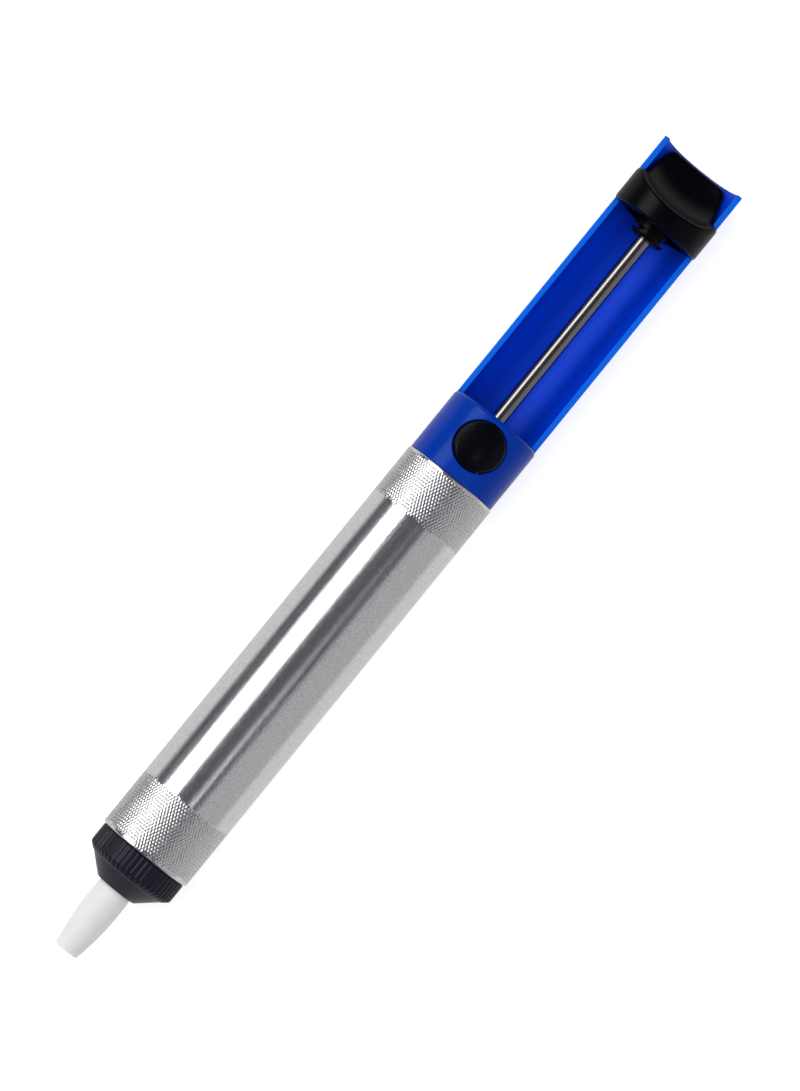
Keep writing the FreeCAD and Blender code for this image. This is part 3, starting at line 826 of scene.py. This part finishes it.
place(button_coil, "barrel", SPRING_STEEL, "spring_steel", "button_spring")
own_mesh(button_coil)

# %% [markdown]
# ## The thumb knob
#
# The knob is a plug that slides inside the guard, half a skirt that rides on the guard's edges, and a deep
# hollow for the thumb, all melted into each other with soft edges. No single profile gives that, and hard
# cuts with a bevel leave a ring of odd little faces where three rounded edges meet. So the shape is written
# as one function of x, y and z that is negative inside the plastic. Plain shapes are joined with a soft
# minimum and cut with a soft maximum, which round every edge by a chosen amount, and the surface is read off
# a regular grid.


# %% Soft edges
def soft_max(a, b, blend):
    """The larger of a and b, raised where they are nearer than blend to each other, which rounds an edge."""
    near = np.clip(blend - np.abs(a - b), 0, None) / blend
    return np.maximum(a, b) + near * near * blend / 4


def soft_min(a, b, blend):
    """The smaller of a and b, lowered where they are near each other, which fills an inner corner."""
    return -soft_max(-a, -b, blend)


print("where two walls meet, an edge rounded by 1 mm is cut back by", soft_max(0, 0, 1.0), "mm")


# %% Surface of a function on a grid
def grid_surface(name, solid, low, high, step):
    """The zero surface of solid(x, y, z) on a grid. Every grid cell that the surface passes through gets one
    point, the mean of where it crosses the cell's edges. Every grid edge that it crosses gets one face, which
    joins the points of the four cells round that edge."""
    axes = [np.arange(a - step, b + 2 * step, step) for a, b in zip(low, high)]
    value = solid(*np.meshgrid(*axes, indexing="ij"))
    cells = tuple(n - 1 for n in value.shape)
    total = np.zeros(cells + (3,))
    count = np.zeros(cells)
    for axis in range(3):
        others = [a for a in range(3) if a != axis]
        for i in (0, 1):
            for j in (0, 1):
                near = [slice(0, n) for n in cells]
                near[others[0]] = slice(i, i + cells[others[0]])
                near[others[1]] = slice(j, j + cells[others[1]])
                far = list(near)
                far[axis] = slice(1, 1 + cells[axis])
                v0, v1 = value[tuple(near)], value[tuple(far)]
                cross = (v0 < 0) != (v1 < 0)
                place_on_edge = np.zeros(cells + (3,))
                place_on_edge[..., axis] = v0 / np.where(cross, v0 - v1, 1)
                place_on_edge[..., others[0]] = i
                place_on_edge[..., others[1]] = j
                total += place_on_edge * cross[..., None]
                count += cross
    used = count > 0
    number = np.cumsum(used.ravel()).reshape(cells) - 1
    corner = np.stack(np.nonzero(used), axis=-1)
    points = (corner + total[used] / count[used][:, None]) * step + [axis[0] for axis in axes]
    quads = []
    for axis in range(3):
        b, c = (axis + 1) % 3, (axis + 2) % 3
        v0 = np.take(value, range(value.shape[axis] - 1), axis)
        v1 = np.take(value, range(1, value.shape[axis]), axis)
        i, j, k = np.nonzero((v0 < 0) != (v1 < 0))
        at = np.stack([i, j, k], axis=-1)
        leaving = (v0 < 0)[i, j, k]
        ring = []
        for shift_b, shift_c in ((1, 1), (0, 1), (0, 0), (1, 0)):
            cell = at.copy()
            cell[:, b] -= shift_b
            cell[:, c] -= shift_c
            ring.append(number[tuple(cell.T)])
        faces = np.stack(ring, axis=-1)
        quads.append(np.where(leaving[:, None], faces, faces[:, ::-1]))
    return mesh_from(name, points, np.concatenate(quads))


# %% Sizes of the knob
knob_front, knob_rear = span_x("thumb_knob")
plug_radius = 8.15
skirt_radius = 9.8
skirt_rear = 185.6
skirt_low = 0.25
recess_radius = 6.8
recess_depth = 3.0
thumb_x, thumb_z = 195.0, 8.0
thumb_radius = 12.7
thumb_half_width = 15.1
taper_start, taper_end = 187.0, 193.0
pad_half_width = 6.6
round_edge, skirt_edge, fine_edge, rear_edge = 1.1, 0.9, 0.3, 0.1
sharp_joint, extra_joint = 0.05, 2.0
joint_swells = (0.8, 3.0)
knob_step = 0.2
print(f"knob from x = {knob_front:.1f} to {knob_rear:.1f} mm")


# %% Thumb knob
def knob_solid(x, y, z):
    """Plug: a cylinder between two faces, whose sides narrow towards the rear. Skirt: a wider half disc
    above the guard's edges. The two are joined softly above the edges, and their front is cut flat. The
    thumb hollow is an ellipsoid that goes straight up above its middle, and the front has a shallow round
    recess."""
    radius = np.hypot(y, z)
    ends = soft_max(knob_front - x, x - knob_rear, rear_edge)
    plug = soft_max(radius - plug_radius, ends, round_edge)
    slope = (plug_radius - pad_half_width) / (taper_end - taper_start)
    side = np.abs(y) - plug_radius + np.maximum(x - taper_start, 0) * slope
    plug = soft_max(plug, side, round_edge)
    skirt_ends = np.maximum(knob_front - x, x - skirt_rear)
    skirt = soft_max(radius - skirt_radius, skirt_ends, skirt_edge)
    skirt = soft_max(skirt, skirt_low - z, fine_edge)
    joint = sharp_joint + extra_joint * smooth_step(z, *joint_swells)
    solid = soft_max(soft_min(plug, skirt, joint), knob_front - x, fine_edge)
    up = np.minimum(z - thumb_z, 0)
    thumb = np.sqrt(
        ((x - thumb_x) / thumb_radius) ** 2 + (y / thumb_half_width) ** 2 + (up / thumb_radius) ** 2
    )
    solid = soft_max(solid, (1 - thumb) * thumb_radius, round_edge)
    recess = np.maximum(radius - recess_radius, x - knob_front - recess_depth)
    return soft_max(solid, -recess, fine_edge)


knob_low = (knob_front, -skirt_radius, -plug_radius)
knob_high = (knob_rear, skirt_radius, skirt_radius)
thumb_rest = grid_surface("thumb_rest", knob_solid, knob_low, knob_high, knob_step)
place(thumb_rest, "plunger", KNOB_BLACK, "knob_plastic", "thumb_knob")

# %% [markdown]
# ## Studio
#
# The tool lies on a light table, with one large soft light on its +Y side, a dim panel on the other, and a
# thin strip above. A polished tube mirrors everything round it: a light at an angle from straight up shows
# as a streak at half that angle round the tube. So each light is given by the two angles it spans, and the
# ceiling between them stays dark. A fill from overhead lights the plastics only. It and the table are hidden
# from reflections, where a grey card stands in for the table, so that the metal isn't washed out from below.

# %% Floor
rest_height = -tube_radius * MM
TABLE_REACH = 3.0
TABLE_GLOW = 0.5
CARD_X, CARD_Y = (-0.2, 0.4), (-1.2, 0.115)
CARD_BELOW = 0.0005
CARD_GLOW = 0.54


def flat_sheet(name, x0, x1, y0, y1, height):
    """A level rectangle that isn't part of the tool."""
    mesh = bpy.data.meshes.new(name)
    corners = [(x0, y0, height), (x1, y0, height), (x1, y1, height), (x0, y1, height)]
    mesh.from_pydata(corners, [], [(0, 1, 2, 3)])
    sheet = bpy.data.objects.new(name, mesh)
    bpy.context.scene.collection.objects.link(sheet)
    return sheet


def light_table():
    """The frosted top of a light table, lit from above and, a little, from below."""
    table = flat_sheet("light_table", -TABLE_REACH, TABLE_REACH, -TABLE_REACH, TABLE_REACH, rest_height)
    material, shader = new_material("frosted_white", (0.8, 0.8, 0.8), 0.6)
    shader.inputs["Specular IOR Level"].default_value = 0.1
    shader.inputs["Emission Color"].default_value = (1, 1, 1, 1)
    shader.inputs["Emission Strength"].default_value = TABLE_GLOW
    table.data.materials.append(material)
    table.visible_glossy = False


def grey_card():
    """What the metal mirrors below the horizon: a pale card under the tool, which only reflections see."""
    card = flat_sheet("grey_card", *CARD_X, *CARD_Y, rest_height - CARD_BELOW)
    material, shader = new_material("pale_card", (0.2, 0.2, 0.2), 0.8)
    shader.inputs["Emission Color"].default_value = (1, 1, 1, 1)
    shader.inputs["Emission Strength"].default_value = CARD_GLOW
    card.data.materials.append(material)
    card.visible_camera = False
    card.visible_diffuse = False
    card.visible_shadow = False


light_table()
grey_card()
print(f"the tool rests at z = {rest_height / MM:.1f} mm")


# %% Lights
def light_panel(name, angle_from, angle_to, distance, length, brightness, middle_x=0.095):
    """A soft panel along the tool. It spans two angles from straight up, positive towards +Y, in degrees.
    brightness is the light that leaves a unit of its area, so a wider panel doesn't look brighter."""
    middle = math.radians((angle_from + angle_to) / 2)
    width = 2 * distance * math.tan(math.radians(abs(angle_to - angle_from) / 2))
    data = bpy.data.lights.new(name, "AREA")
    data.shape = "RECTANGLE"
    data.size = length
    data.size_y = width
    data.energy = brightness * math.pi * length * width
    light = bpy.data.objects.new(name, data)
    bpy.context.scene.collection.objects.link(light)
    back = Vector((0, math.sin(middle), math.cos(middle)))
    along = Vector((1, 0, 0))
    turned = Matrix((along, back.cross(along), back)).transposed().to_4x4()
    light.matrix_world = Matrix.Translation(Vector((middle_x, 0, 0)) + back * distance) @ turned
    return light


light_panel("key_left", 33, 64.5, 1.1, 1.7, 3.2)
light_panel("dim_right", -26, -90, 1.2, 1.7, 0.34)
light_panel("top_strip", -12, -6, 1.3, 0.4, 1.6, -0.18)
overhead = light_panel("overhead_fill", 24, -40, 1.25, 1.6, 1.5)
overhead.visible_glossy = False
print("lights:", [item.name for item in bpy.data.lights])

# %% Surroundings
DARK_STUDIO = (0.097, 0.095, 0.108, 1)
world = bpy.data.worlds.new("studio")
bpy.context.scene.world = world
world.use_nodes = True
world.node_tree.nodes["Background"].inputs["Color"].default_value = DARK_STUDIO
world.node_tree.nodes["Background"].inputs["Strength"].default_value = 1.0
print("surroundings:", DARK_STUDIO[:3])

# %% [markdown]
# ## Camera
#
# A long lens from almost straight above keeps the tool's sides parallel. The camera is turned about its own
# line of sight so that the tool runs slantwise across the frame, nozzle down.

# %% Camera
camera_data = bpy.data.cameras.new("camera")
camera = bpy.data.objects.new("camera", camera_data)
bpy.context.scene.collection.objects.link(camera)
camera_data.lens = 161.7
camera_data.sensor_width = 36
camera_data.clip_start = 0.01
camera_at = Vector((0.0741, 0.055, 0.936))
aim_at = Vector((0.1002, -0.00064, 0))
slant = math.radians(50.75)
back = (camera_at - aim_at).normalized()
up_hint = Vector((math.sin(slant), math.cos(slant), 0))
right = up_hint.cross(back).normalized()
up = back.cross(right)
camera.matrix_world = Matrix.Translation(camera_at) @ Matrix((right, up, back)).transposed().to_4x4()
bpy.context.scene.camera = camera
bpy.context.scene.view_settings.view_transform = "Standard"
print(f"camera {(camera_at - aim_at).length:.2f} m away, lens {camera_data.lens:.1f} mm")
